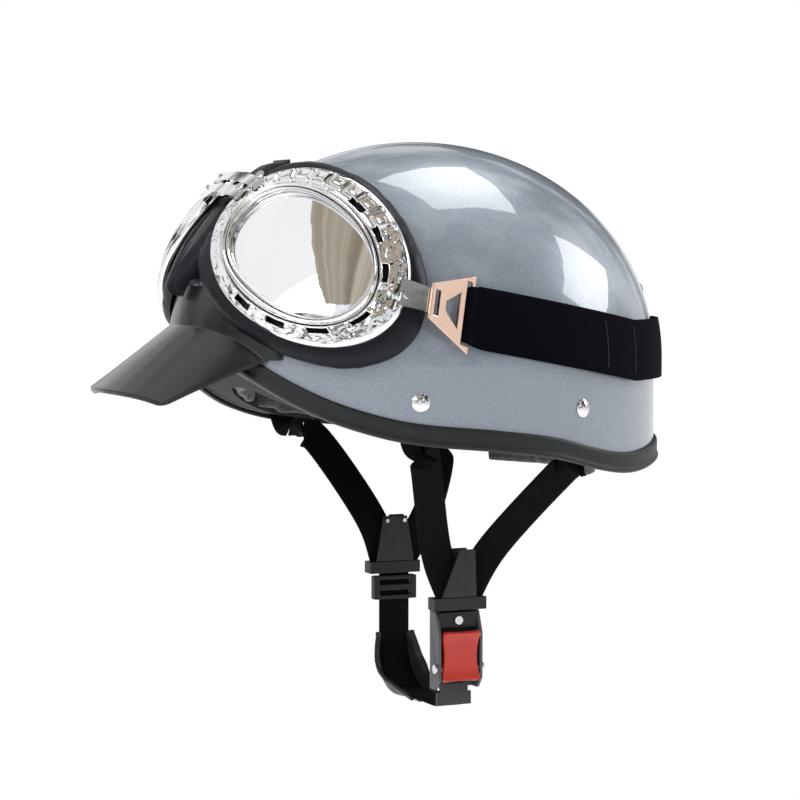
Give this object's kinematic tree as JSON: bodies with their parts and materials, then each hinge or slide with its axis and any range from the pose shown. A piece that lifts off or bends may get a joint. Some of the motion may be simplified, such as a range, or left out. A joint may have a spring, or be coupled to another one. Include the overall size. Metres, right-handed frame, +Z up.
{
  "type": "motorcycle half helmet",
  "caption": "Open half helmet with a short peak, round-cup goggles held by an elastic strap, a rear strap keeper and a chin harness with a ratchet buckle.",
  "frame": {"origin": "centre of the head opening, level with the shell's edge at the side", "axes": "+Z up, the helmet faces -Y, the wearer's left is +X"},
  "size_m": [0.2524, 0.3374, 0.322],
  "materials": {
    "shell_paint": "gloss metallic slate grey lacquer over moulded plastic",
    "foam": "black expanded foam",
    "lining_cloth": "brushed mesh comfort lining",
    "trim_rubber": "satin black moulded rubber",
    "peak_plastic": "satin gloss black plastic",
    "black_hardware": "black coated heads",
    "rivet_chrome": "polished",
    "keeper_leather": "black grained leather",
    "goggle_chrome": "polished and embossed",
    "vent_foam": "open black foam mesh",
    "lens_mirror": "silver mirror coating",
    "pad_leather": "soft black leather over foam",
    "hook_gold": "polished rose gold plating",
    "elastic": "dense woven black elastic",
    "webbing": "ribbed black webbing",
    "harness_plastic": "black moulded plastic",
    "pin_steel": "plain",
    "buckle_grey": "dark grey satin",
    "spring_steel": "plain",
    "lever_red": "satin red",
    "tongue_plastic": "black moulded plastic",
    "chin_leather": "black soft leather"
  },
  "bodies": {
    "goggles": {"bridge_links": "goggle_chrome", "bridge_screws": "goggle_chrome", "elastic_fold": "elastic", "elastic_strap": "elastic", "face_pad_left": "pad_leather", "face_pad_right": "pad_leather", "goggle_housing_left": "goggle_chrome", "goggle_housing_right": "goggle_chrome", "lens_bezel_left": "goggle_chrome", "lens_bezel_right": "goggle_chrome", "lens_left": "lens_mirror", "lens_right": "lens_mirror", "nose_pad": "pad_leather", "side_tab_left": "goggle_chrome", "side_tab_right": "goggle_chrome", "strap_hook_left": "hook_gold", "strap_hook_right": "hook_gold", "tab_rivets": "goggle_chrome", "vent_mesh_left": "vent_foam", "vent_mesh_right": "vent_foam"},
    "keeper": {"keeper_tab": "keeper_leather", "keeper_cap": "rivet_chrome"},
    "harness": {"buckle_cover": "harness_plastic", "buckle_frame": "buckle_grey", "buckle_web": "webbing", "chin_pad": "chin_leather", "chin_web": "webbing", "cover_screw": "pin_steel", "divider_bar_left": "harness_plastic", "divider_bar_right": "harness_plastic", "divider_left": "harness_plastic", "divider_right": "harness_plastic", "divider_studs": "pin_steel", "lever_pin": "pin_steel", "lever_spring": "spring_steel", "webbing_front_left": "webbing", "webbing_front_right": "webbing", "webbing_rear_left": "webbing", "webbing_rear_right": "webbing"},
    "lever": {"release_lever": "lever_red"},
    "tongue": {"buckle_tongue": "tongue_plastic"},
    "slider": {"length_slider": "harness_plastic"},
    "helmet": {"edge_trim": "trim_rubber", "foam_liner": "foam", "keeper_rivet": "black_hardware", "keeper_root": "keeper_leather", "keeper_stud": "rivet_chrome", "lining_brow": "lining_cloth", "lining_crown": "lining_cloth", "lining_left": "lining_cloth", "lining_nape": "lining_cloth", "lining_right": "lining_cloth", "peak": "peak_plastic", "peak_screws": "black_hardware", "rivet_washers": "rivet_chrome", "shell": "shell_paint", "strap_rivets": "rivet_chrome"}
  },
  "joints": [
    {"name": "goggles_lift", "type": "slide", "parent": "helmet", "child": "goggles", "axis": [0, -0.8, 0.6], "range_m": [0, 0.03], "stiffness_N_per_m": 200, "springref_m": -0.05, "deforming": ["elastic_strap", "elastic_fold"]},
    {"name": "keeper_open", "type": "hinge", "parent": "helmet", "child": "keeper", "pos_m": [0, 0.1454, 0.0123], "axis": [-1, 0, 0], "range_deg": [0, 85]},
    {"name": "harness_swing", "type": "hinge", "parent": "helmet", "child": "harness", "pos_m": [0, 0.0055, 0], "axis": [1, 0, 0], "range_deg": [-12, 12], "deforming": ["webbing_front_left", "webbing_front_right", "webbing_rear_left", "webbing_rear_right"]},
    {"name": "lever_release", "type": "hinge", "parent": "harness", "child": "lever", "pos_m": [0.0486, 0.005, -0.129], "axis": [0, 1, 0], "range_deg": [0, 38], "stiffness_Nm_per_rad": 0.05, "springref_deg": -20.05},
    {"name": "tongue_slide", "type": "slide", "parent": "harness", "child": "tongue", "axis": [0, 0, -1], "range_m": [0, 0.027], "deforming": ["chin_web"]},
    {"name": "slider_travel", "type": "slide", "parent": "harness", "child": "slider", "axis": [0, 0, -1], "range_m": [0, 0.018]}
  ]
}
